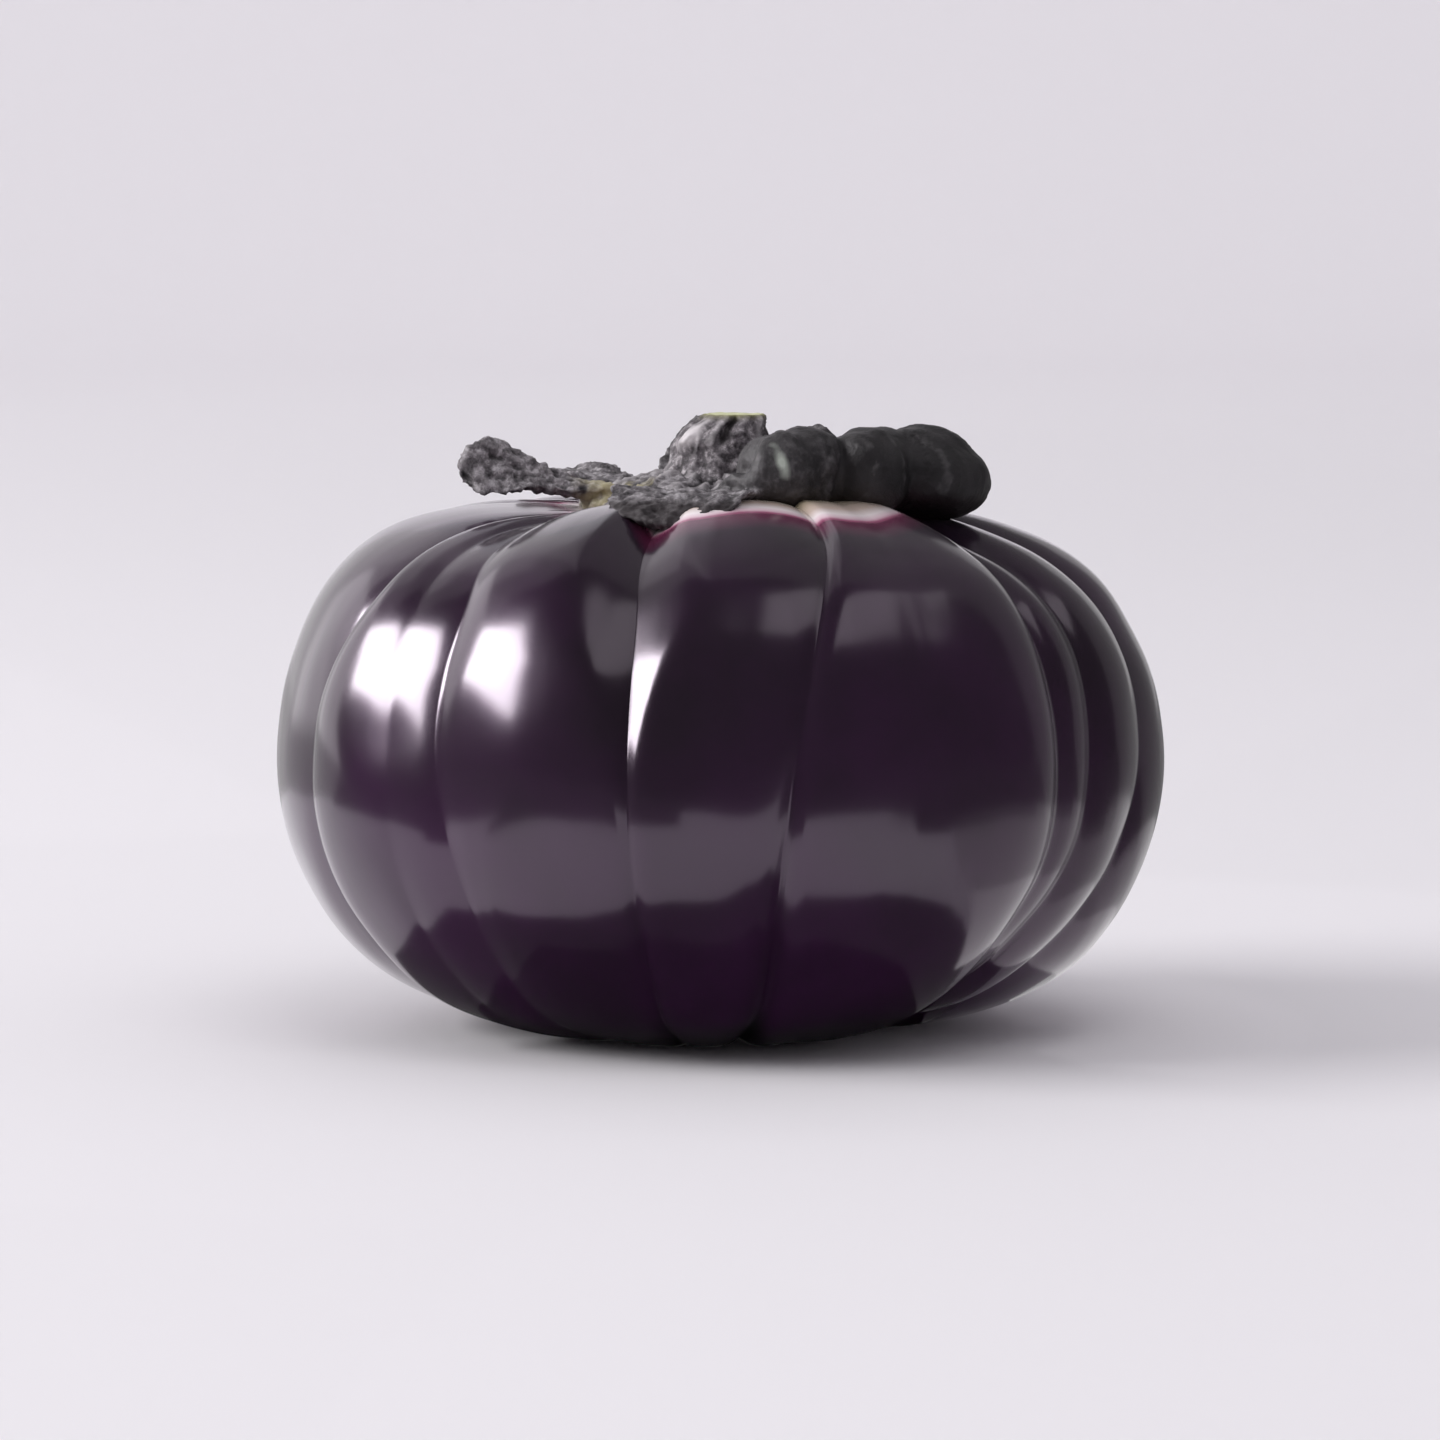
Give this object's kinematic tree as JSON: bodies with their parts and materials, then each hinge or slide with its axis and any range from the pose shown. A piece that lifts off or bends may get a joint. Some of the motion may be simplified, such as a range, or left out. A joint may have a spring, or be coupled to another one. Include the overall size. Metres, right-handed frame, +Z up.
{
  "type": "eggplant",
  "caption": "Squat ribbed globe eggplant, as picked: glossy near-black purple berry, dried calyx with curled lobes and a short cut stalk, resting upright on its blossom end.",
  "frame": {"origin": "the middle of the underside, on the surface the fruit rests on", "axes": "+Z is up, through the stalk; -Y is the front; +X is to the right of the front"},
  "size_m": [0.1078, 0.1058, 0.0742],
  "materials": {
    "skin": null,
    "calyx": null,
    "stem": "drying stalk with a pale yellow-green fibrous cut face"
  },
  "bodies": {
    "root": {"fruit": "skin", "calyx": "calyx", "stem": "stem"}
  },
  "joints": []
}
